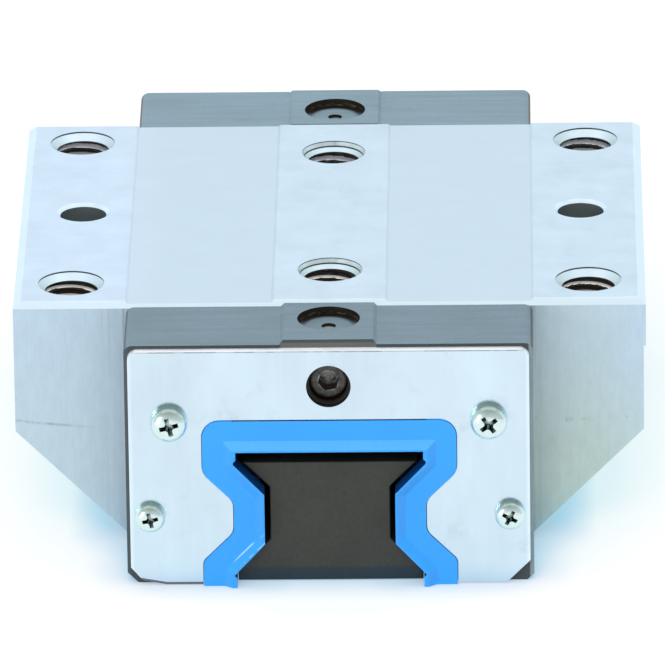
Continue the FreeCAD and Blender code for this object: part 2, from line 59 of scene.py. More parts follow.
# One output socket of a material; sums and products on it add Math nodes
class Wire:
    def __init__(self, finish, socket):
        self.finish = finish
        self.socket = socket

    def out(self, name):  # another output of the same node
        return Wire(self.finish, self.socket.node.outputs[name])

    def join(self, operation, first, second):
        return self.finish.node("Math", {"operation": operation}, {0: first, 1: second})

    def __add__(self, other):
        return self.join("ADD", self, other)

    def __radd__(self, other):
        return self.join("ADD", other, self)

    def __sub__(self, other):
        return self.join("SUBTRACT", self, other)

    def __rsub__(self, other):
        return self.join("SUBTRACT", other, self)

    def __mul__(self, other):
        return self.join("MULTIPLY", self, other)

    def __abs__(self):
        return self.finish.node("Math", {"operation": "ABSOLUTE"}, {0: self})


# A material or world being put together
class Finish:
    def __init__(self, owner):
        owner.use_nodes = True
        self.owner = owner
        self.tree = owner.node_tree
        self.tree.nodes.clear()
        self.place = self.node("TexCoord", {}, {}, "Object")
        self.side, self.depth, self.height = self.parts(self.place)
        self.across, self.along, self.up = self.parts(self.place.out("Normal"))

    def node(self, kind, settings, values, out=0):
        made = self.tree.nodes.new("ShaderNode" + kind)
        for key, value in settings.items():
            if key == "stops":
                self.fillRamp(made.color_ramp, value)
            else:
                setattr(made, key, value)
        for key, value in values.items():
            if isinstance(value, Wire):
                self.tree.links.new(value.socket, made.inputs[key])
            else:
                made.inputs[key].default_value = value
        return Wire(self, made.outputs[out]) if len(made.outputs) else None

    def fillRamp(self, ramp, stops):
        while len(ramp.elements) < len(stops):
            ramp.elements.new(0.5)
        for element, (position, colour) in zip(ramp.elements, stops):
            element.position = position
            element.color = colour

    def parts(self, vector):  # x, y and z of a vector
        x = self.node("SeparateXYZ", {}, {0: vector}, "X")
        return x, x.out("Y"), x.out("Z")

    def step(self, value, low, high):  # 0 below low, 1 above high; low may be the larger
        settings = {"interpolation_type": "SMOOTHSTEP"}
        return self.node("MapRange", settings, {"Value": value, "From Min": low, "From Max": high})

    def mix(self, factor, first, second):
        return self.node("Mix", {"data_type": "RGBA"}, {0: factor, 6: first, 7: second}, 2)

    def multiply(self, first, second):
        settings = {"data_type": "RGBA", "blend_type": "MULTIPLY"}
        return self.node("Mix", settings, {0: 1.0, 6: first, 7: second}, 2)

    def shift(self, factor, tone, tint):  # the tone times a tint, where factor is 1
        return self.mix(factor, tone, self.multiply(tone, tint))

    def shade(self, tone, amount):  # the tone times a value that stays near 1
        return self.multiply(tone, self.node("CombineColor", {}, {0: amount, 1: amount, 2: amount}))

    def noise(self, texture):  # cycles per metre along x, y and z, then detail and roughness
        cycles, detail, roughness = texture
        scaled = self.node("VectorMath", {"operation": "MULTIPLY"}, {0: self.place, 1: cycles})
        values = {"Vector": scaled, "Scale": 1.0, "Detail": detail, "Roughness": roughness}
        return self.node("TexNoise", {}, values, "Fac")

    def sway(self, texture):  # noise about zero
        return self.noise(texture) - 0.5

    def spots(self, texture, low, high):  # 1 where the noise is above high
        return self.step(self.noise(texture), low, high)

    def fromUpright(self, x, y):  # square of the distance from upright axes
        dx = abs(self.side) - x * mm
        dy = abs(self.depth) - y * mm
        return dx * dx + dy * dy

    def fromLevel(self, x, z):  # square of the distance from axes along the guide
        dx = abs(self.side) - x * mm
        dz = self.height - z * mm
        return dx * dx + dz * dz

    def within(self, square, radius, blur=0.06):  # 1 inside a radius in millimetres
        return self.step(square, ((radius + blur) * mm) ** 2, ((radius - blur) * mm) ** 2)

    def leftward(self):  # distance to the left, as seen from outside either end
        return self.side * self.step(self.depth, -1 * mm, 1 * mm) * 2 - self.side

    def openness(self, samples, reach):
        return self.node("AmbientOcclusion", {"samples": samples}, {"Distance": reach}, "AO")

    def bump(self, height, strength, distance):
        values = {"Height": height, "Strength": strength, "Distance": distance}
        return self.node("Bump", {}, values)

    def close(self, values):
        shader = self.node("BsdfPrincipled", {}, values)
        self.node("OutputMaterial", {}, {"Surface": shader})
        return self.owner


def rgb(red, green, blue):
    return (red, green, blue, 1.0)


# Finishes: pairs are where a blend starts and ends, radii are in millimetres

holeLook = {
    "mouthShade": rgb(0.16, 0.22, 0.24),
    "coneSideReflection": rgb(0.84, 0.86, 0.80),
    "stepWall": rgb(0.80, 0.88, 0.88),
    "stepShadow": rgb(0.17, 0.19, 0.20),
    "threadShade": rgb(0.05, 0.042, 0.034),
    "threadLitFront": rgb(0.95, 0.94, 0.88),
    "threadLitRear": rgb(0.62, 0.64, 0.68),
    "pinWall": rgb(0.15, 0.182, 0.185),
    "cornerRadius": 5.3,
    "centreRadius": 5.2,
    "stepRadius": 5.0,
    "threadRadius": 5.05,
    "crestRadius": 4.68,
    "crestBlur": 0.08,
    "pinRadius": 3.76,
    "cornerRim": (40.7 * mm, 40.76 * mm),
    "stepFoot": (40.24 * mm, 40.3 * mm),
    "stepRim": (40.83 * mm, 40.87 * mm),
    "shadowHeight": 40.16 * mm,
    "shadowWidth": (0.16 * mm, 0.1 * mm),
    "cornerThread": (39.74 * mm, 39.66 * mm),
    "centreThread": (39.46 * mm, 39.38 * mm),
    "pinTop": (40.5 * mm, 40.4 * mm),
    "pinFoot": (28.1 * mm, 28.3 * mm),
}


def holeTones(f, tone, upright, onEdge):  # the tone with its holes, and where threads and pin holes are
    look = holeLook
    cornerHole = f.fromUpright(*plan["cornerHole"])
    centreHole = f.fromUpright(*plan["centreHole"])
    inCorner = f.within(cornerHole, look["cornerRadius"])
    inCentre = f.within(centreHole, look["centreRadius"])
    # Painted reflection: the sides of the countersinks are tinted greyer and greener.
    cone = (inCorner + inCentre) * onEdge * f.step(abs(f.across), 0.3, 0.66)
    tone = f.shift(cone, tone, look["coneSideReflection"])
    # Painted shade: the upright rims at the mouths of the corner holes and of the centre holes' steps are
    # darkened.
    tone = f.mix(inCorner * upright * f.step(f.height, *look["cornerRim"]), tone, look["mouthShade"])
    stepWall = inCentre * f.step(f.height, *look["stepFoot"]) * upright
    tone = f.mix(stepWall, tone, look["stepWall"])
    tone = f.mix(stepWall * f.step(f.height, *look["stepRim"]), tone, look["mouthShade"])
    stepShadow = f.step(abs(f.height - look["shadowHeight"]), *look["shadowWidth"])
    tone = f.mix(f.within(centreHole, look["stepRadius"]) * stepShadow, tone, look["stepShadow"])
    inThread = f.within(cornerHole, look["threadRadius"]) * f.step(f.height, *look["cornerThread"])
    inThread = inThread + f.within(centreHole, look["threadRadius"]) * f.step(f.height, *look["centreThread"])
    # Painted light and shade in the threads: up-facing faces near the crest are painted lit, in the rear holes
    # all up-facing faces in a dimmer tone, and everything else is painted dark.
    rearward = f.step(f.depth, -5 * mm, 5 * mm)
    crest = f.within(cornerHole, look["crestRadius"], look["crestBlur"])
    crest = crest + f.within(centreHole, look["crestRadius"], look["crestBlur"])
    bright = f.step(f.up, 0.3, 0.6) * (crest + (1 - crest) * rearward)
    thread = f.mix(rearward, look["threadLitFront"], look["threadLitRear"])
    thread = f.mix(bright, look["threadShade"], thread)
    inPin = f.within(f.fromUpright(*plan["pinHole"]), look["pinRadius"])
    inPin = inPin * f.step(f.height, *look["pinTop"]) * f.step(f.height, *look["pinFoot"])
    tone = f.mix(inThread, f.mix(inPin, tone, look["pinWall"]), thread)
    return tone, inThread, inPin


steelLook = {
    "land": rgb(0.62, 0.737, 0.81),
    "relief": rgb(0.61, 0.715, 0.78),
    "end": rgb(0.55, 0.715, 0.84),
    "lowEnd": rgb(0.985, 0.965, 0.93),
    "flank": rgb(0.44, 0.54, 0.595),
    "edge": rgb(0.74, 0.875, 0.94),
    "warmSide": rgb(1.0, 1.0, 0.84),
    "outerSide": rgb(1.0, 1.01, 1.09),
    "coolSide": rgb(1.04, 1.03, 1.06),
    "grain": ((90, 420, 90), 4.0, 0.6),  # soft grain of the ground lands
    "cloud": ((150, 150, 150), 4.0, 0.65),  # handling marks on the lands
    "speck": ((650, 650, 650), 2.0, 0.5),
    "mottle": ((900, 900, 340), 4.0, 0.7),
    "lines": ((2600, 60, 24), 3.0, 0.7),  # grinding lines of the end faces
    "streak": ((1500, 40, 16), 2.0, 0.6),  # on the end faces beside the caps
    "wander": ((160, 160, 160), 3.0, 0.6),
    "landHeight": (40.7 * mm, 40.9 * mm),
    "landStep": ((7 * mm, 8 * mm), (36 * mm, 34 * mm)),
    "lowness": (38 * mm, 10 * mm),
    "linesReach": (39 * mm, 33 * mm),
    "streakReach": (37 * mm, 33 * mm),
    "streakFade": (24 * mm, 38 * mm),
    "warmReach": (-10 * mm, 45 * mm),
    "outerReach": (41 * mm, 50 * mm),
    "coolReach": (-25 * mm, -35 * mm),
    "rubs": [  # rubbed lines across the right and the left flange end
        {"height": 20.6 * mm, "start": 0.0, "slope": 0.0, "sway": 1.2 * mm,
         "width": (0.6 * mm, 0.1 * mm), "reach": (0, 30 * mm),
         "dashes": ((620, 60, 420), 3.0, 0.65), "gaps": (0.54, 0.66), "least": 0.0, "gain": 1.0},
        {"height": 20.45 * mm, "start": -44 * mm, "slope": 0.11, "sway": 0.7 * mm,
         "width": (0.34 * mm, 0.04 * mm), "reach": (-36 * mm, -44 * mm),
         "dashes": ((520, 60, 60), 3.0, 0.7), "gaps": (0.4, 0.6), "least": 0.4, "gain": 0.8},
    ],
}


def flangeRubs(f):
    wander = f.sway(steelLook["wander"])
    rubs = 0
    for rub in steelLook["rubs"]:
        fromLine = f.height - rub["height"] + (f.side - rub["start"]) * rub["slope"] + wander * rub["sway"]
        dashes = rub["least"] + f.spots(rub["dashes"], *rub["gaps"]) * rub["gain"]
        rubs = rubs + f.step(abs(fromLine), *rub["width"]) * f.step(f.side, *rub["reach"]) * dashes
    return rubs


def groundSteel():
    f = Finish(bpy.data.materials.new("groundSteel"))
    look = steelLook
    fromMiddle = abs(f.side)
    onLand = f.step(f.height, *look["landHeight"])
    onEnd = f.step(abs(f.along), 0.75, 0.95)
    onFlank = f.step(0 - f.up, 0.3, 0.6)
    innerStep, outerStep = look["landStep"]
    onStep = f.step(fromMiddle, *innerStep) * f.step(fromMiddle, *outerStep) * f.step(abs(f.across), 0.4, 0.6)
    onEdge = f.step(f.up, 0.25, 0.45) * f.step(f.up, 0.95, 0.85) * (1 - onStep)  # chamfers and countersinks
    upright = f.step(f.up, 0.6, 0.3)
    lowness = f.step(f.height, *look["lowness"])
    tone = look["relief"]
    # Chamfers and countersinks take the brighter edge tone, a painted highlight.
    for where, name in ((onLand, "land"), (onEnd, "end"), (onFlank, "flank"), (onEdge, "edge")):
        tone = f.mix(where, tone, look[name])
    tone = f.shift(lowness * onEnd, tone, look["lowEnd"])
    # Painted light, as it falls from the left: right upright faces are tinted warmer, right outer end faces
    # bluer, and left faces that are not upright cooler and brighter.
    warmth = f.step(f.side, *look["warmReach"]) * upright * (0.3 + lowness * 0.7)
    tone = f.shift(warmth, tone, look["warmSide"])
    tone = f.shift(f.step(f.side, *look["outerReach"]) * onEnd, tone, look["outerSide"])
    tone = f.shift(f.step(f.side, *look["coolReach"]) * (1 - upright), tone, look["coolSide"])
    tone, inThread, inPin = holeTones(f, tone, upright, onEdge)
    grain, cloud, mottle, lines = (f.sway(look[name]) for name in ("grain", "cloud", "mottle", "lines"))
    speck = f.spots(look["speck"], 0.72, 0.8) * onLand
    lines = lines * (0.3 + f.step(fromMiddle, *look["linesReach"]))
    streaks = f.spots(look["streak"], 0.54, 0.7)
    streaks = streaks * f.step(fromMiddle, *look["streakReach"]) * f.step(f.height, *look["streakFade"])
    shade = 1 + (grain * 0.06 + cloud * (0.08 + onLand * 0.2)) * (1 - onEnd) - speck * 0.12
    shade = shade + (lines * 0.2 + mottle * 0.2 - streaks * 0.3 - flangeRubs(f) * 0.24) * onEnd
    return f.close({
        "Base Color": f.shade(tone, shade),
        "Metallic": 1 - inPin * 0.6 - inThread * 0.6,
        "Roughness": 0.42 - onLand * 0.08 + onEnd * 0.06 - inThread * 0.1 + inPin * 0.15 + grain * 0.1,
        "Normal": f.bump(lines * onEnd + grain * 0.3, 0.25, 0.05 * mm),
    })


sheetLook = {
    "face": rgb(0.625, 0.79, 0.90),
    "edge": rgb(0.97, 0.985, 1.0),
    "burrShade": rgb(0.30, 0.35, 0.38),
    "oiled": rgb(0.10, 0.085, 0.07),
    "paintedShade": rgb(0.16, 0.165, 0.17),
    "cloud": ((70, 70, 45), 3.0, 0.55),
    "blotch": ((120, 120, 120), 4.0, 0.65),
    "brush": ((900, 900, 30), 3.0, 0.7),
    "speck": ((520, 520, 520), 3.0, 0.6),
    "burrDashes": ((420, 150, 150), 3.0, 0.6),
    "rolledEdge": (30.7 * mm, 31.4 * mm),  # drawn in by the punch, and painted lighter there as a highlight
    "burrHeight": 39.59 * mm,
    "burrWidth": (0.12 * mm, 0.05 * mm),
    "paintedShadeTop": (0.69 * mm, 0.57 * mm),
    "paintedShadeReach": (18 * mm, 20 * mm),
    "riseStart": 25.85 * mm,  # where the plate's lower edge starts to rise
    "riseSlope": 0.184,
    "portRadius": 3.6,
}


def satinSheet():
    f = Finish(bpy.data.materials.new("satinSheet"))
    look = sheetLook
    cloud, brush = f.sway(look["cloud"]), f.sway(look["brush"])
    blotch = f.spots(look["blotch"], 0.56, 0.72)
    speck = f.spots(look["speck"], 0.72, 0.8)
    onEdge = f.step(abs(f.along), 0.95, 0.8)  # cut edges of the sheet, rougher, and painted brighter as a highlight
    onFace = 1 - onEdge
    rolledHighlight = f.step(abs(f.side), *look["rolledEdge"]) * onFace
    # Painted shade: a thin dashed dark line along the burr under the top edge.
    burrShade = f.step(abs(f.height - look["burrHeight"]), *look["burrWidth"]) * f.step(f.up, 0.95, 0.85)
    burrShade = burrShade * (0.5 + f.spots(look["burrDashes"], 0.44, 0.6) * 0.5)
    # Painted shadow: a dark band along the plate's lower edge on the left, where the edge rises above the
    # floor.
    leftward = f.leftward()
    rise = (leftward - look["riseStart"]) * look["riseSlope"]
    aboveEdge = f.height - rise.join("MAXIMUM", rise, 0.0)
    paintedShade = f.step(aboveEdge, *look["paintedShadeTop"]) * f.step(leftward, *look["paintedShadeReach"])
    inPort = f.within(f.fromLevel(*plan["endPort"]), look["portRadius"])
    tone = f.mix(onEdge, look["face"], look["edge"])
    tone = f.mix(burrShade, tone, look["burrShade"])
    tone = f.mix(paintedShade * onFace, tone, look["paintedShade"])
    tone = f.mix(inPort * onEdge, tone, look["oiled"])
    shade = 1 + cloud * 0.36 + brush * 0.06 - speck * 0.16 - blotch * 0.09 + rolledHighlight * 0.14
    return f.close({
        "Base Color": f.shade(tone, shade),
        "Metallic": 1.0,
        "Roughness": 0.22 + cloud * 0.1 + onEdge * 0.4,
        "Normal": f.bump(brush + cloud * 0.4, 0.12, 0.04 * mm),
    })


screwLook = {
    "bright": rgb(0.69, 0.86, 0.86),
    "paintedShade": rgb(0.045, 0.045, 0.036),
    "upperRimShade": rgb(0.55, 0.53, 0.43),
    "wear": ((900, 900, 900), 3.0, 0.6),
    "paintedShadeReach": 0.9 * mm,
    "recessShare": 0.66,  # of the head's radius
    "upperRimShadeShares": (0.5, 0.92),
}


def nickelScrew():
    f = Finish(bpy.data.materials.new("nickelScrew"))
    look = screwLook
    wear = f.sway(look["wear"])
    recess, upperRimShade = 0, 0
    for x, z, radius in (plan["upperScrew"], plan["lowerScrew"]):
        fromHead = f.fromLevel(x, z)
        recess = recess + f.within(fromHead, radius * look["recessShare"], 0.1)
        upperRim = f.step(f.height - z * mm, *(radius * share * mm for share in look["upperRimShadeShares"]))
        upperRimShade = upperRimShade + upperRim * f.within(fromHead, radius + 0.2)
    tone = f.shift(upperRimShade * 0.85, look["bright"], look["upperRimShade"])  # painted shade on the upper rim, standing in for darker reflections
    # Painted shade: the cross recess is darkened where ambient occlusion finds it closed in.
    shadedRecess = recess * f.step(f.openness(8, look["paintedShadeReach"]), 0.8, 0.3)
    tone = f.mix(shadedRecess, tone, look["paintedShade"])
    return f.close({
        "Base Color": f.shade(tone, 1 + wear * 0.12),
        "Metallic": 1.0,
        "Roughness": 0.27 + wear * 0.1,
        "Normal": f.bump(wear, 0.08, 0.03 * mm),
    })


blackLook = {  # each pair is the tone without and with oxide
    "face": (rgb(0.032, 0.036, 0.035), rgb(0.115, 0.125, 0.12)),
    "oily": (rgb(0.012, 0.007, 0.004), rgb(0.06, 0.042, 0.028)),
    "socketFloor": (rgb(0.04, 0.04, 0.036), rgb(0.34, 0.34, 0.32)),
    "oxide": ((1300, 1300, 1300), 4.0, 0.7),
    "rimRadius": 2.5,
    "socketRadius": 1.72,
}


def blackSetScrew():
    f = Finish(bpy.data.materials.new("blackSetScrew"))
    look = blackLook
    oxide = f.spots(look["oxide"], 0.3, 0.7)
    face, oily, socketFloor = (f.mix(oxide, *look[name]) for name in ("face", "oily", "socketFloor"))
    fromAxis = f.fromLevel(*plan["endPort"])
    rim = 1 - f.within(fromAxis, look["rimRadius"], 0.15)
    socket = f.within(fromAxis, look["socketRadius"], 0.1)
    outward = f.step(abs(f.along), 0.6, 0.9)
    tone = f.mix(f.step(rim + socket, 0.2, 0.9), face, oily)
    # Painted highlight: the outward-facing floor of the hex socket is lighter.
    tone = f.mix(socket * outward, tone, socketFloor)
    return f.close({
        "Base Color": tone,
        "Metallic": 0.75,
        "Roughness": 0.3 + oxide * 0.16,
        "Normal": f.bump(oxide, 0.2, 0.04 * mm),
    })


rollerLook = {"steel": rgb(0.62, 0.66, 0.69), "polish": ((260, 900, 260), 2.0, 0.5)}


def rollerSteel():
    f = Finish(bpy.data.materials.new("rollerSteel"))
    polish = f.sway(rollerLook["polish"])
    return f.close({
        "Base Color": f.shade(rollerLook["steel"], 1 + polish * 0.08),
        "Metallic": 1.0,
        "Roughness": 0.16 + polish * 0.08,
    })


mouldLook = {
    "grain": ((2200, 2200, 2200), 2.0, 0.6),  # eroded mould texture
    "cloud": ((60, 60, 60), 3.0, 0.6),
    "paleMarks": ((240, 900, 240), 3.0, 0.7),
    "guide": rgb(0.078, 0.078, 0.08),
    "sideSeal": rgb(0.024, 0.024, 0.026),
}


def mouldedPlastic(name, base, roughness, grainDepth):
    f = Finish(bpy.data.materials.new(name))
    grain, cloud = f.sway(mouldLook["grain"]), f.sway(mouldLook["cloud"])
    paleMarks = f.spots(mouldLook["paleMarks"], 0.68, 0.82)
    return f.close({
        "Base Color": f.shade(base, 1 + cloud * 0.16 + grain * 0.1 + paleMarks * 0.12),
        "Roughness": roughness + cloud * 0.1 + grain * 0.06,
        "Normal": f.bump(grain, 0.3, grainDepth),
    })


capLook = {
    "front": rgb(0.040, 0.054, 0.058),
    "slope": rgb(0.10, 0.103, 0.097),
    "dustAndSheen": rgb(0.169, 0.252, 0.303),
    "grease": rgb(0.006, 0.004, 0.002),
    "greaseLine": rgb(0.17, 0.105, 0.035),
    "pip": rgb(0.40, 0.40, 0.40),
    "cloud": ((60, 60, 60), 4.0, 0.65),
    "wipe": ((50, 700, 50), 3.0, 0.6),  # wiping marks across the top
    "speck": ((480, 480, 480), 2.0, 0.5),
    "beads": ((900, 900, 4200), 3.0, 0.6),
    "besidePlate": (31.3 * mm, 31.6 * mm),
    "leftHighlight": 0.3,
    "rightHighlight": 4.2,
    "ridge": (40.28 * mm, 40.4 * mm),  # dark upper edge of the pad's slope
    "portRadius": 5.05,
    "poolRadius": 3.7,
    "poolTop": (39.7 * mm, 39.6 * mm),
    "poolSide": (-1.5 * mm, 2.5 * mm),
    "beadHeight": 39.8 * mm,
    "beadWidth": (0.32 * mm, 0.05 * mm),
    "pipRadius": 1.12,
    "pipTop": (39.0 * mm, 38.9 * mm),
    "endPortRadius": 3.4,
}


def capPlastic():
    f = Finish(bpy.data.materials.new("capPlastic"))
    look = capLook
    grain = f.sway(mouldLook["grain"])
    cloud, wipe = f.sway(look["cloud"]), f.sway(look["wipe"])
    speck = f.spots(look["speck"], 0.75, 0.8)
    rearward = f.step(f.depth, -20 * mm, 20 * mm)  # the rear half, whose tops are painted lighter
    # Painted highlight: end faces beside the plate are lighter, much more so on the right.
    stripHighlight = f.step(abs(f.side), *look["besidePlate"]) * f.step(abs(f.along), 0.7, 0.9)
    stripHighlight = stripHighlight * (look["leftHighlight"] + f.step(f.side, -1 * mm, 1 * mm) * look["rightHighlight"])
    # Slopes take a lighter tone than upright faces, painted light, and top faces a lighter one still, part dust
    # and part painted sheen.
    slope = f.mix(f.step(f.height, *look["ridge"]), look["slope"], look["front"])
    tone = f.mix(f.step(f.up, 0.35, 0.55), f.shade(look["front"], 1 + stripHighlight), slope)
    tone = f.mix(f.step(f.up, 0.62, 0.70), tone, f.shade(look["dustAndSheen"], 1 + rearward * 0.32))
    fromPort = f.fromUpright(*plan["capPort"])
    inPort = f.within(fromPort, look["portRadius"])
    outward = (abs(f.depth) - plan["capPort"][1] * mm) * (rearward * 2 - 1)
    pooled = inPort * (1 - f.within(fromPort, look["poolRadius"], 0.5)) * f.step(outward, *look["poolSide"])
    tone = f.mix(pooled * f.step(f.height, *look["poolTop"]), tone, look["grease"])
    beads = f.step(abs(f.height - look["beadHeight"]), *look["beadWidth"]) * f.spots(look["beads"], 0.46, 0.64)
    portWall = inPort * f.step(f.up, 0.5, 0.3)
    tone = f.mix(portWall, tone, f.mix(beads, look["grease"], look["greaseLine"]))
    onPip = f.within(fromPort, look["pipRadius"]) * f.step(f.height, *look["pipTop"])
    tone = f.mix(onPip, tone, look["pip"])
    tone = f.mix(f.within(f.fromLevel(*plan["endPort"]), look["endPortRadius"]), tone, look["grease"])
    return f.close({
        "Base Color": f.shade(tone, 1 + cloud * 0.4 + wipe * 0.45 + grain * 0.25 - speck * 0.25),
        "Roughness": 0.5 + cloud * 0.1 + grain * 0.06,
        "Normal": f.bump(grain, 0.3, 0.05 * mm),
    })


arborLook = {
    "face": rgb(0.0245, 0.0275, 0.023),
    "olive": rgb(0.029, 0.034, 0.026),
    "foot": rgb(0.006, 0.0215, 0.034),
    "grain": ((1500, 1500, 1500), 2.0, 0.6),
    "cloud": ((130, 130, 130), 4.0, 0.7),
    "footTop": (2.7 * mm, 2.1 * mm),
}


def arborPlastic():
    f = Finish(bpy.data.materials.new("arborPlastic"))
    look = arborLook
    grain, cloud = f.sway(look["grain"]), f.noise(look["cloud"])
    # Painted shade: a darker, bluer band along the bottom of the end faces, standing in for the reflected floor
    # shadow.
    foot = f.step(f.height, *look["footTop"]) * f.step(abs(f.along), 0.8, 0.95)
    tone = f.mix(cloud, look["face"], look["olive"])
    tone = f.mix(foot, tone, look["foot"])
    return f.close({
        "Base Color": f.shade(tone, 0.59 + cloud * 0.66 + grain * 0.7),
        "Roughness": 0.38 + cloud * 0.1,
        "Normal": f.bump(grain, 0.25, 0.03 * mm),
    })


sealLook = {
    "face": rgb(0.0265, 0.374, 1.0),
    "lip": rgb(0.075, 0.43, 1.0),
    "paleMarks": rgb(0.42, 0.74, 1.0),
    "wall": rgb(0.004, 0.055, 0.22),
    "cloud": ((80, 80, 80), 3.0, 0.55),
    "skin": ((1800, 1800, 1800), 2.0, 0.6),
    "dashes": ((330, 20, 330), 2.0, 0.6),
    "upperLip": (19 * mm, 23 * mm),
    "lipSlope": 1.02,  # of the lower lip, which the highlight lines follow
    "highlightLines": [  # height at the middle, and the line's width
        (19.75 * mm, (0.18 * mm, 0.06 * mm)),
        (18.2 * mm, (0.16 * mm, 0.05 * mm)),
    ],
    "highlightMiddle": 6 * mm,
    "highlightReach": (3.4 * mm, 2.4 * mm),
    "opening": (15.3 * mm, 15.25 * mm),
}


def sealRubber():
    f = Finish(bpy.data.materials.new("sealRubber"))
    look = sealLook
    cloud, skin = f.sway(look["cloud"]), f.sway(look["skin"])
    along = abs(f.along)
    # Painted light: the up-facing upper lip is lighter, the rest of the lip a little.
    upper = f.step(f.height, *look["upperLip"]) * f.step(abs(f.up), 0.2, 0.45)
    onLip = f.step(along, 0.4, 0.6) * f.step(along, 0.97, 0.9) * (0.15 + upper * 0.85)
    slant = f.height + f.leftward() * look["lipSlope"]  # level along the lower lip
    # Painted highlight: dashed light lines along the creases of the lower lip.
    paleMarks = 0
    for height, width in look["highlightLines"]:
        paleMarks = paleMarks + f.step(abs(slant - height), *width)
    paleMarks = paleMarks * f.spots(look["dashes"], 0.42, 0.56) * f.step(along, 0.6, 0.7)
    paleMarks = paleMarks * f.step(abs(f.height - look["highlightMiddle"]), *look["highlightReach"])
    wall = f.step(along, 0.3, 0.1) * f.step(abs(f.side), *look["opening"])
    tone = f.mix(onLip, look["face"], look["lip"])
    tone = f.mix(paleMarks, tone, look["paleMarks"])
    tone = f.mix(wall, tone, look["wall"])  # painted shade on the walls of the opening
    return f.close({
        "Base Color": f.shade(tone, 0.98 + cloud * 0.16 + skin * 0.16),
        "Roughness": 0.34 + cloud * 0.1,
        "Normal": f.bump(skin, 0.12, 0.03 * mm),
    })


finishes = {
    "ground_steel": groundSteel(),
    "roller_steel": rollerSteel(),
    "sheet_steel": satinSheet(),
    "bright_screw": nickelScrew(),
    "black_steel": blackSetScrew(),
    "cap_plastic": capPlastic(),
    "guide_plastic": mouldedPlastic("guidePlastic", mouldLook["guide"], 0.42, 0.02 * mm),
    "arbor_plastic": arborPlastic(),
    "seal_rubber": sealRubber(),
    "side_seal_rubber": mouldedPlastic("sideSealRubber", mouldLook["sideSeal"], 0.55, 0.03 * mm),
}
for node in nodes.values():
    slot = node.material_slots[0].material.name
    node.material_slots[0].material = finishes[slot]
print("finishes set on", len(nodes), "nodes")


# Mesh helpers

joinReach = 0.002 * mm  # corners closer than this are one
bevelAngle = 25  # edges sharper than this are broken
threadForm = {"flat": 1.35, "flank": 3.4}


def smooth(mesh, sharpAngle):
    mesh.shade_smooth()
    mesh.set_sharp_from_angle(angle=math.radians(sharpAngle))


def meshPiece(name, bm, finish, sharpAngle=30):
    bmesh.ops.recalc_face_normals(bm, faces=bm.faces)
    mesh = bpy.data.meshes.new(name)
    bm.to_mesh(mesh)
    bm.free()
    smooth(mesh, sharpAngle)
    piece = bpy.data.objects.new(name, mesh)
    piece.data.materials.append(finish)
    bpy.context.scene.collection.objects.link(piece)
    return piece


def standFor(piece, body, slot, *names):
    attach(piece, body)
    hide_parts(*names)


def nodeCopy(name):  # the solid's own faces, with the corners of neighbouring faces joined
    source = nodes[name].data
    bm = bmesh.new()
    corners = [bm.verts.new(vertex.co) for vertex in source.vertices]
    for face in source.polygons:
        bm.faces.new([corners[index] for index in face.vertices])
    bmesh.ops.remove_doubles(bm, verts=bm.verts, dist=joinReach)
    return bm


def softCopy(name, body, slot, width):  # the solid with its edges broken
    piece = meshPiece(name + ".soft", nodeCopy(name), finishes[slot])
    edge = piece.modifiers.new("brokenEdge", "BEVEL")
    edge.limit_method = "ANGLE"
    edge.angle_limit = math.radians(bevelAngle)
    edge.width = width
    edge.segments = 2
    edge.harden_normals = True
    standFor(piece, body, slot, name)


def joinRows(bm, first, second):  # a closed band of faces between two rows of corners
    for index in range(len(first)):
        after = (index + 1) % len(first)
        bm.faces.new((first[index], first[after], second[after], second[index]))


def ringStack(bm, rings, columns, place):  # rings of (height, radius or radius by angle), closed at both ends
    rows = []
    for height, radius in rings:
        row = []
        for column in range(columns):
            angle = math.tau * column / columns
            reach = radius(angle) if callable(radius) else radius
            corner = Vector((reach * math.cos(angle), reach * math.sin(angle), height))
            row.append(bm.verts.new(place @ corner))
        rows.append(row)
    for low, high in zip(rows, rows[1:]):
        joinRows(bm, low, high)
    bm.faces.new(list(reversed(rows[0])))
    bm.faces.new(rows[-1])


def threadDepth(turns):  # 0 on the crest, 1 at the root, over one turn
    fromRoot = abs(turns % 1.0 - 0.5)
    return min(1.0, max(0.0, threadForm["flat"] - fromRoot * threadForm["flank"]))


def threadRings(length, radius, depth, pitch, steps):  # an outside thread from height -length up to 0
    rings = []
    count = int(length / pitch * steps)
    for index in range(count + 1):
        height = -length + length * index / count
        fade = min(1.0, index / steps, (count - index) / steps)

        def reach(angle, height=height, fade=fade):
            return radius - depth * fade * threadDepth(height / pitch - angle / math.tau)

        rings.append((height, reach))
    return rings


def cutBy(piece, cutter, sharpAngle):  # takes the cutter's shape out of the piece
    cut = piece.modifiers.new("cut", "BOOLEAN")
    cut.object = cutter
    cut.solver = "EXACT"
    bpy.context.view_layer.update()
    carved = bpy.data.meshes.new_from_object(piece.evaluated_get(bpy.context.evaluated_depsgraph_get()))
    piece.modifiers.clear()
    piece.data = carved
    bpy.data.objects.remove(cutter)
    smooth(carved, sharpAngle)


def outlinePrism(bm, low, high, place):  # a closed form between two outlines of (x, y, z)
    bottom = [bm.verts.new(place @ Vector(point)) for point in low]
    top = [bm.verts.new(place @ Vector(point)) for point in high]
    joinRows(bm, bottom, top)
    bm.faces.new(list(reversed(bottom)))
    bm.faces.new(top)


# Outward directions of the two ends: local Z points out of the carriage
endTurns = {
    "front": Matrix.Rotation(math.radians(90), 4, "X"),
    "rear": Matrix.Rotation(math.radians(180), 4, "Z") @ Matrix.Rotation(math.radians(90), 4, "X"),
}


# Steel body with cut threads

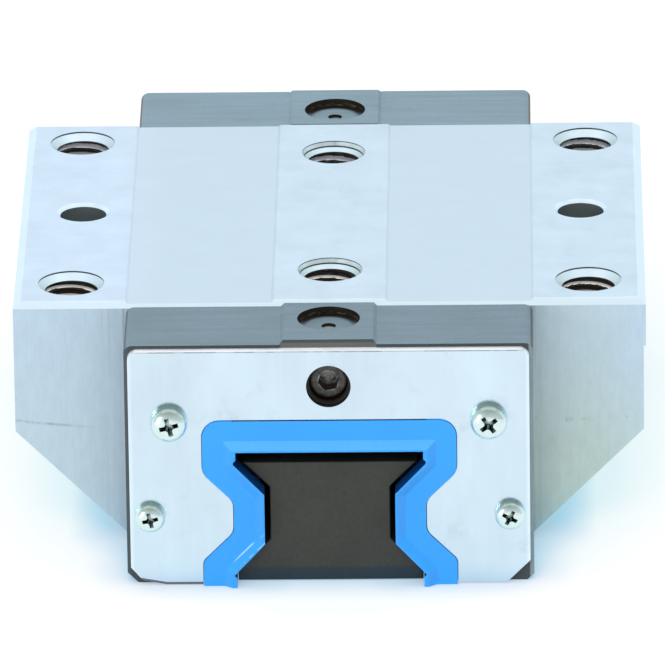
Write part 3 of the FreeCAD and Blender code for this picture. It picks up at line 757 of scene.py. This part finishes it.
bodyThreads = {
    "holes": [  # kind, sides in x and y, and the height of the first groove at the far side
        ("cornerHole", -1, -1, 39.19),
        ("cornerHole", 1, -1, 39.12),
        ("cornerHole", -1, 1, 39.22),
        ("cornerHole", 1, 1, 39.17),
        ("centreHole", 1, -1, 38.52),
        ("centreHole", 1, 1, 38.61),
    ],
    "core": 4.25 * mm,
    "root": 4.98 * mm,
    "pitch": 1.5 * mm,
    "columns": 48,
    "stepsPerTurn": 14,
    "fade": 0.35 * mm,
    "inset": 0.04 * mm,  # from the rims
    "wallReach": 0.004 * mm,  # corners this close to the core are on the hole's wall
    "middle": 30 * mm,  # between the upper and lower rims
    "farTurn": 0.75,  # puts a groove's root at the far side
}


def rimHeight(rim, angle):  # height of a rim at an angle, between its own corners
    marks = sorted(rim)
    first, last = marks[0], marks[-1]
    marks = [(last[0] - math.tau, last[1])] + marks + [(first[0] + math.tau, first[1])]
    for (a, low), (b, high) in zip(marks, marks[1:]):
        if a <= angle <= b:
            return low + (high - low) * (angle - a) / max(b - a, 1e-9)
    return first[1]


def cutThread(bm, x, y, groove):
    t = bodyThreads

    def polar(vertex):
        dx, dy = vertex.co.x - x, vertex.co.y - y
        return math.hypot(dx, dy), math.atan2(dy, dx)

    def onWall(part):
        return all(abs(polar(vertex)[0] - t["core"]) < t["wallReach"] for vertex in part.verts)

    bmesh.ops.delete(bm, geom=[face for face in bm.faces if onWall(face)], context="FACES")
    rims = [edge for edge in bm.edges if edge.is_boundary and onWall(edge)]
    upper = [edge for edge in rims if edge.verts[0].co.z > t["middle"]]
    lower = [edge for edge in rims if edge.verts[0].co.z <= t["middle"]]
    rimTop = min(vertex.co.z for edge in upper for vertex in edge.verts)
    marks = [(polar(vertex)[1], vertex.co.z) for edge in lower for vertex in edge.verts]
    rowCount = int((rimTop - min(mark[1] for mark in marks)) / t["pitch"] * t["stepsPerTurn"])
    top = rimTop - t["inset"]
    rows = []
    for index in range(rowCount + 1):
        row = []
        for column in range(t["columns"]):
            angle = math.tau * column / t["columns"] - math.pi
            bottom = rimHeight(marks, angle) + t["inset"]
            height = top + (bottom - top) * index / rowCount
            fade = min(1.0, (top - height) / t["fade"], (height - bottom) / t["fade"])
            depth = threadDepth((height - groove) / t["pitch"] - angle / math.tau + t["farTurn"])
            reach = t["core"] + (t["root"] - t["core"]) * depth * fade
            row.append(bm.verts.new((x + reach * math.cos(angle), y + reach * math.sin(angle), height)))
        rows.append(row)
    for high, low in zip(rows, rows[1:]):
        joinRows(bm, high, low)
    for rim, row in ((upper, rows[0]), (lower, rows[-1])):
        edges = [bm.edges.get((row[index - 1], row[index])) for index in range(len(row))]
        bmesh.ops.bridge_loops(bm, edges=rim + edges)


bodyMesh = nodeCopy("carriage_body")
for hole, xSide, ySide, groove in bodyThreads["holes"]:
    x, y = plan[hole]
    cutThread(bodyMesh, xSide * x * mm, ySide * y * mm, groove * mm)
steelBody = meshPiece("carriage_body.threaded", bodyMesh, finishes["ground_steel"], 25)
standFor(steelBody, "carriage", "ground_steel", "carriage_body")
print("steel body threaded:", len(steelBody.data.polygons), "faces")


# Pan head screws with cross recesses, in millimetres; turns in degrees, left and right

panScrews = {
    "upper": {"place": plan["upperScrew"], "height": 2.4, "shank": 1.5, "pitch": 0.5,
              "cross": 1.6, "wing": 0.37, "crossDepth": 1.7, "turns": {-1: 15, 1: 37}},
    "lower": {"place": plan["lowerScrew"], "height": 2.0, "shank": 1.25, "pitch": 0.45,
              "cross": 1.36, "wing": 0.32, "crossDepth": 1.4, "turns": {-1: 13, 1: 62}},
}
screwForm = {
    "columns": 32,
    "length": 23.5,
    "tip": 0.35,
    "tipShare": 0.72,  # of the shank's radius
    "threadShare": 0.51,  # of the pitch
    "stepsPerTurn": 4,
    "headFoot": [(0.0, 0.93), (0.1, 0.985), (0.28, 1.0)],  # height, and share of the head's radius
    "headSide": 0.3,  # share of the height below the dome
    "domeSteps": 12,
    "domePowers": (0.9, 0.72),
    "crown": 0.08,
    "crossFloor": (0.42, 0.62),  # shares of reach and half width
    "crossMouth": (1.1, 1.06),
    "crossWaist": 1.75,
    "crossAbove": 0.3,
    "sharpAngle": 32,
}


def panHead(radius, height):  # rings from the underside of the head up over its dome
    form = screwForm
    rings = [(level * mm, radius * share) for level, share in form["headFoot"]]
    side = form["headSide"] * height
    rise, fall = form["domePowers"]
    for index in range(1, form["domeSteps"]):
        lean = math.pi / 2 * index / form["domeSteps"]
        rings.append((side + (height - side) * math.sin(lean) ** rise, radius * math.cos(lean) ** fall))
    rings.append((height, form["crown"] * radius))
    return rings


def crossCutter(look, place):
    form = screwForm

    def outline(shares, level):
        reach, half = look["cross"] * shares[0], look["wing"] * shares[1]
        waist = half * form["crossWaist"]
        points = []
        for quarter in range(4):
            turn = Matrix.Rotation(math.pi / 2 * quarter, 3, "Z")
            for x, y in ((reach, -half), (reach, half), (waist, half), (half, waist)):
                points.append(turn @ Vector((x * mm, y * mm, level * mm)))
        return points

    bm = bmesh.new()
    low = outline(form["crossFloor"], look["height"] - look["crossDepth"])
    high = outline(form["crossMouth"], look["height"] + form["crossAbove"])
    outlinePrism(bm, low, high, place)
    return meshPiece("crossCutter", bm, finishes["bright_screw"])


def panScrew(name, look, place, turn):
    form = screwForm
    length, radius, pitch = form["length"] * mm, look["shank"] * mm, look["pitch"] * mm
    tip = [(-(form["length"] + form["tip"]) * mm, radius * form["tipShare"])]
    shank = threadRings(length, radius, form["threadShare"] * pitch, pitch, form["stepsPerTurn"])
    head = panHead(look["place"][2] * mm, look["height"] * mm)
    bm = bmesh.new()
    ringStack(bm, tip + shank + head, form["columns"], place)
    screw = meshPiece(name, bm, finishes["bright_screw"])
    cutBy(screw, crossCutter(look, place @ Matrix.Rotation(turn, 4, "Z")), form["sharpAngle"])
    return screw


plateFace = {"front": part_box("wiper_plate_front")[0][1], "rear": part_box("wiper_plate_rear")[1][1]}
for end, outward in endTurns.items():
    for level, look in panScrews.items():
        x, z = look["place"][:2]
        for side, sideName in ((-1, "left"), (1, "right")):
            spot = Matrix.Translation((side * x * mm, plateFace[end], z * mm)) @ outward
            hand = side if end == "front" else -side
            turn = math.radians(look["turns"][hand])
            screw = panScrew(f"{level}_screw_{end}.{sideName}", look, spot, turn)
            standFor(screw, "carriage", "bright_screw", f"{level}_screws_{end}")
print("screws ready")


# Set screws in the end ports, in millimetres

setScrew = {
    "columns": 36,
    "radius": 2.97,
    "length": 5.0,
    "foot": 0.8,  # how much narrower the foot is
    "threadLength": 4.1,
    "threadTop": 0.45,
    "threadDepth": 0.55,
    "pitch": 1.0,
    "stepsPerTurn": 6,
    "crown": [(0.12, 0.06), (0.0, 0.18)],  # depth, and how much narrower
    "hex": 3.0,
    "hexDepth": 2.4,
    "hexTurn": 12,
    "hexAbove": 0.2,
    "hexFlare": 1.02,
    "sharpAngle": 30,
}


def hexCutter(place):
    corner = setScrew["hex"] / 2 / math.cos(math.pi / 6) * mm

    def outline(scale, level):
        points = []
        for index in range(6):
            angle = math.pi / 3 * index + math.radians(setScrew["hexTurn"])
            points.append((corner * scale * math.cos(angle), corner * scale * math.sin(angle), level * mm))
        return points

    bm = bmesh.new()
    low = outline(1.0, -setScrew["hexDepth"])
    high = outline(setScrew["hexFlare"], setScrew["hexAbove"])
    outlinePrism(bm, low, high, place)
    return meshPiece("hexCutter", bm, finishes["black_steel"])


def setScrewRings():
    s = setScrew
    foot = [(-s["length"] * mm, (s["radius"] - s["foot"]) * mm)]
    thread = threadRings(s["threadLength"] * mm, s["radius"] * mm, s["threadDepth"] * mm, s["pitch"] * mm,
                         s["stepsPerTurn"])
    thread = [(height - s["threadTop"] * mm, reach) for height, reach in thread]
    crown = [(-depth * mm, (s["radius"] - narrower) * mm) for depth, narrower in s["crown"]]
    return foot + thread + crown


for end, outward in endTurns.items():
    low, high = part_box("lube_plug_" + end)
    outer = low[1] if end == "front" else high[1]
    x, z = plan["endPort"]
    spot = Matrix.Translation((x * mm, outer, z * mm)) @ outward
    bm = bmesh.new()
    ringStack(bm, setScrewRings(), setScrew["columns"], spot)
    plug = meshPiece("lube_plug_" + end + ".socket", bm, finishes["black_steel"])
    cutBy(plug, hexCutter(spot), setScrew["sharpAngle"])
    standFor(plug, "carriage", "black_steel", "lube_plug_" + end)
print("set screws ready")


# Rollers, round and with broken edges

roller = {
    "radius": 2.0 * mm,
    "half": 2.8 * mm,
    "edge": 0.3 * mm,
    "edgeShares": [(0.0, 1.0), (0.35, 0.3), (1.0, 0.0)],  # of the broken edge: inward from the end and the side
    "columns": 24,
    "tilt": 45,
    "sharpAngle": 40,
}


def looseCentres(bm):  # middle of each loose shell
    left = set(bm.verts)
    centres = []
    while left:
        shell = []
        queue = [left.pop()]
        while queue:
            vertex = queue.pop()
            shell.append(vertex.co)
            for edge in vertex.link_edges:
                other = edge.other_vert(vertex)
                if other in left:
                    left.remove(other)
                    queue.append(other)
        centres.append(sum(shell, Vector()) / len(shell))
    return centres


lowRings = [(-roller["half"] + roller["edge"] * inward, roller["radius"] - roller["edge"] * narrower)
            for inward, narrower in roller["edgeShares"]]
rollerRings = lowRings + [(-height, radius) for height, radius in reversed(lowRings)]
for level in ("upper", "lower"):
    for side in ("left", "right"):
        name = f"{level}_rollers_{side}"
        tilt = roller["tilt"] if (level == "upper") == (side == "right") else -roller["tilt"]
        turn = Matrix.Rotation(math.radians(tilt), 4, "Y")
        source = nodeCopy(name)
        bm = bmesh.new()
        for centre in looseCentres(source):
            ringStack(bm, rollerRings, roller["columns"], Matrix.Translation(centre) @ turn)
        source.free()
        row = meshPiece(name + ".round", bm, finishes["roller_steel"], roller["sharpAngle"])
        standFor(row, "carriage", "roller_steel", name)
print("rollers ready")


# Plastic, sheet and rubber pieces with broken edges

brokenEdges = {
    "end_cap": ("cap_plastic", 0.35 * mm),
    "wiper_plate": ("sheet_steel", 0.16 * mm),
    "end_seal": ("seal_rubber", 0.24 * mm),
}
arborEdge = 0.3 * mm
for kind, (slot, width) in brokenEdges.items():
    for end in endTurns:
        softCopy(kind + "_" + end, "carriage", slot, width)
softCopy("transport_arbor", "arbor", "arbor_plastic", arborEdge)
print("soft edges ready")


# Studio

studio = {
    "floorSize": 8.0,
    "floorCells": 8,
    "floorLevel": -0.02 * mm,
    "floorGlow": [  # darker and bluer near the part, a painted shade
        (0.0, rgb(0.22, 0.36, 0.45)),
        (0.5, rgb(0.235, 0.56, 0.735)),
        (1.0, rgb(0.51, 0.765, 0.835)),
    ],
    "floorPaint": rgb(0.61, 0.31, 0.23),
    "bouncePaint": rgb(0.95, 0.95, 0.95),
    "shadeReach": 8 * mm,
    "skySeen": rgb(1.0, 1.0, 1.0),
    "skyBack": rgb(0.98, 1.05, 1.12),
    "skyFront": rgb(0.60, 0.63, 0.64),
    "skyTop": rgb(0.28, 0.30, 0.32),  # behind the top box
    "skyLight": rgb(0.29, 0.30, 0.31),
    "frontToBack": (-0.5, 0.2),
    "sideToTop": (0.7, 0.93),
    "lamps": {
        "topBox": {"place": (0.0, 0.1, 1.3), "size": 1.8, "power": 9.0, "shine": True},
        "frontBox": {"place": (-0.1, -1.35, 1.2), "size": 0.9, "power": 15.0, "shine": False},
        "keyLamp": {"place": (-1.15, -1.35, 0.25), "size": 0.45, "power": 4.0, "shine": True},
    },
}


def studioWorld():
    world = bpy.data.worlds.new("studioWorld")
    bpy.context.scene.world = world
    f = Finish(world)
    rayY, rayZ = f.parts(f.place.out("Generated"))[1:]
    seen = f.node("LightPath", {}, {}, "Is Camera Ray")
    mirrored = seen.out("Is Glossy Ray") + seen.out("Is Transmission Ray")
    around = f.mix(f.step(rayY, *studio["frontToBack"]), studio["skyFront"], studio["skyBack"])
    around = f.mix(f.step(rayZ, *studio["sideToTop"]), around, studio["skyTop"])
    colour = f.mix(mirrored, f.mix(seen, studio["skyLight"], studio["skySeen"]), around)
    shine = f.node("Background", {}, {"Color": colour, "Strength": 1.0})
    f.node("OutputWorld", {}, {"Surface": shine})


def floorFinish():
    f = Finish(bpy.data.materials.new("floorFinish"))
    path = f.node("LightPath", {}, {}, "Is Camera Ray")
    seen = f.step(path + path.out("Is Glossy Ray") + path.out("Is Transmission Ray"), 0.2, 0.8)
    light = f.node("ValToRGB", {"stops": studio["floorGlow"]}, {"Fac": f.openness(16, studio["shadeReach"])})
    paint = f.node("BsdfDiffuse", {}, {"Color": studio["floorPaint"]})
    glow = f.node("Emission", {}, {"Color": light, "Strength": 1.0})
    bounce = f.node("BsdfDiffuse", {}, {"Color": studio["bouncePaint"]})
    white = f.node("AddShader", {}, {0: paint, 1: glow})
    surface = f.node("MixShader", {}, {0: seen, 1: bounce, 2: white})
    f.node("OutputMaterial", {}, {"Surface": surface})
    return f.owner


def addLamp(name, look):
    light = bpy.data.lights.new(name, "AREA")
    light.size = look["size"]
    light.energy = look["power"]
    lamp = bpy.data.objects.new(name, light)
    lamp.location = look["place"]
    lamp.rotation_euler = (-Vector(look["place"])).to_track_quat("-Z", "Y").to_euler()
    lamp.visible_glossy = look["shine"]
    bpy.context.scene.collection.objects.link(lamp)


studioWorld()
floorMesh = bmesh.new()
cells = studio["floorCells"]
bmesh.ops.create_grid(floorMesh, x_segments=cells, y_segments=cells, size=studio["floorSize"] / 2)
floor = meshPiece("floor", floorMesh, floorFinish())
floor.location.z = studio["floorLevel"]
for name, look in studio["lamps"].items():
    addLamp(name, look)
print("studio ready")


# Camera, fitted to the hole pattern in the photo

photoCamera = {
    "place": (0.0301894, -1.8612586, 0.7655122),
    "yaw": -0.0163058591,
    "pitch": -0.381026142,
    "roll": -0.0137721384,
    "focalPixels": 12418.61,
    "imagePixels": 665,
    "sensor": 36.0,
    "farClip": 100.0,
}


def placeCamera():
    yaw, pitch, roll = (photoCamera[key] for key in ("yaw", "pitch", "roll"))
    forward = Vector((math.sin(yaw) * math.cos(pitch), math.cos(yaw) * math.cos(pitch), math.sin(pitch)))
    level = forward.cross(Vector((0, 0, 1))).normalized()
    upright = level.cross(forward)
    right = level * math.cos(roll) + upright * math.sin(roll)
    up = upright * math.cos(roll) - level * math.sin(roll)
    lens = bpy.data.cameras.new("photoCamera")
    lens.sensor_width = photoCamera["sensor"]
    lens.lens = photoCamera["sensor"] * photoCamera["focalPixels"] / photoCamera["imagePixels"]
    lens.clip_end = photoCamera["farClip"]
    camera = bpy.data.objects.new("photoCamera", lens)
    turn = Matrix((right, up, -forward)).transposed().to_4x4()
    camera.matrix_world = Matrix.Translation(photoCamera["place"]) @ turn
    bpy.context.scene.collection.objects.link(camera)
    bpy.context.scene.camera = camera


placeCamera()
bpy.context.scene.view_settings.view_transform = "Standard"
print("camera placed")
